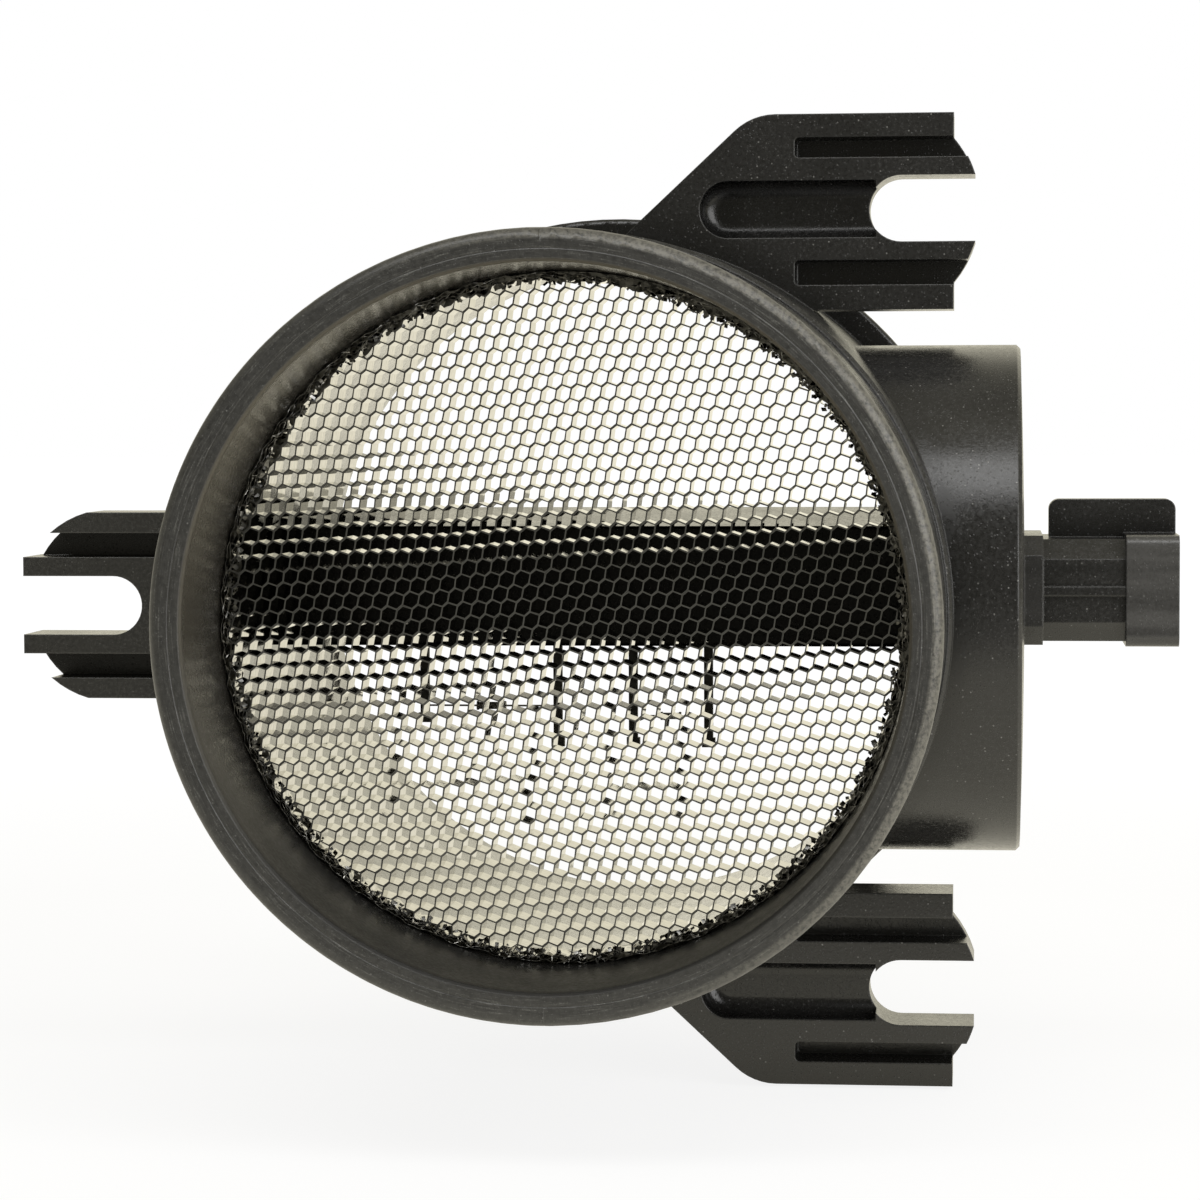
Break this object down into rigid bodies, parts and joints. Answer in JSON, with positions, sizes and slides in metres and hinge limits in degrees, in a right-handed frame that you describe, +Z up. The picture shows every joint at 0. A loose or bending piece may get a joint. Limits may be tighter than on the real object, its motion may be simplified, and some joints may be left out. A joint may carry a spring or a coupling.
{
  "type": "mass airflow sensor",
  "caption": "Duct type mass airflow sensor: round collar with a honeycomb flow straightener, a sensor bar across the bore, slotted fixing tabs and a side chamber with a connector.",
  "frame": {"origin": "on the duct axis, at the stop shoulder behind the inlet collar", "axes": "+Y along the duct axis with the air flow, +X towards the electronics chamber and connector, +Z up"},
  "size_m": [0.1565, 0.126, 0.13],
  "materials": {
    "housing_plastic": "moulded glass-filled plastic, semi-gloss",
    "straightener_foil": "bright foil",
    "bar_plastic": "moulded plastic, semi-gloss",
    "gasket_rubber": "soft flat gasket",
    "tinned_lead": "tinned, dull bright",
    "element_glaze": "glazed ceramic",
    "element_wire": "drawn wire",
    "spreader_plate": "plain sheet",
    "board_ceramic": "fired ceramic board",
    "chip_package": "moulded package",
    "capacitor_body": "fired ceramic body",
    "resistor_body": "glazed film",
    "bond_wire": "bright drawn wire",
    "screw_steel": "plated",
    "cover_plastic": "moulded plastic, semi-gloss",
    "seal_rubber": "moulded ring",
    "tinned_terminal": "tinned blade"
  },
  "bodies": {
    "root": {"housing": "housing_plastic", "flow_straightener": "straightener_foil", "sensor_bar": "bar_plastic", "bar_back_cover": "bar_plastic", "bar_gasket": "gasket_rubber", "sensor_lead_1": "tinned_lead", "sensor_lead_2": "tinned_lead", "sensor_lead_3": "tinned_lead", "sensor_lead_4": "tinned_lead", "heated_element": "element_glaze", "heated_element_wires": "element_wire", "air_temp_element": "element_glaze", "air_temp_element_wires": "element_wire", "heat_spreader": "spreader_plate", "circuit_board": "board_ceramic", "control_chip": "chip_package", "amplifier_chip": "chip_package", "chip_capacitors": "capacitor_body", "chip_resistors": "resistor_body", "lead_bond_wires": "bond_wire", "terminal_bond_wires": "bond_wire", "module_screw_1": "screw_steel", "module_screw_2": "screw_steel", "cover": "cover_plastic", "cover_seal": "seal_rubber", "terminal_1": "tinned_terminal", "terminal_2": "tinned_terminal", "terminal_3": "tinned_terminal", "terminal_4": "tinned_terminal", "terminal_5": "tinned_terminal"}
  },
  "joints": []
}
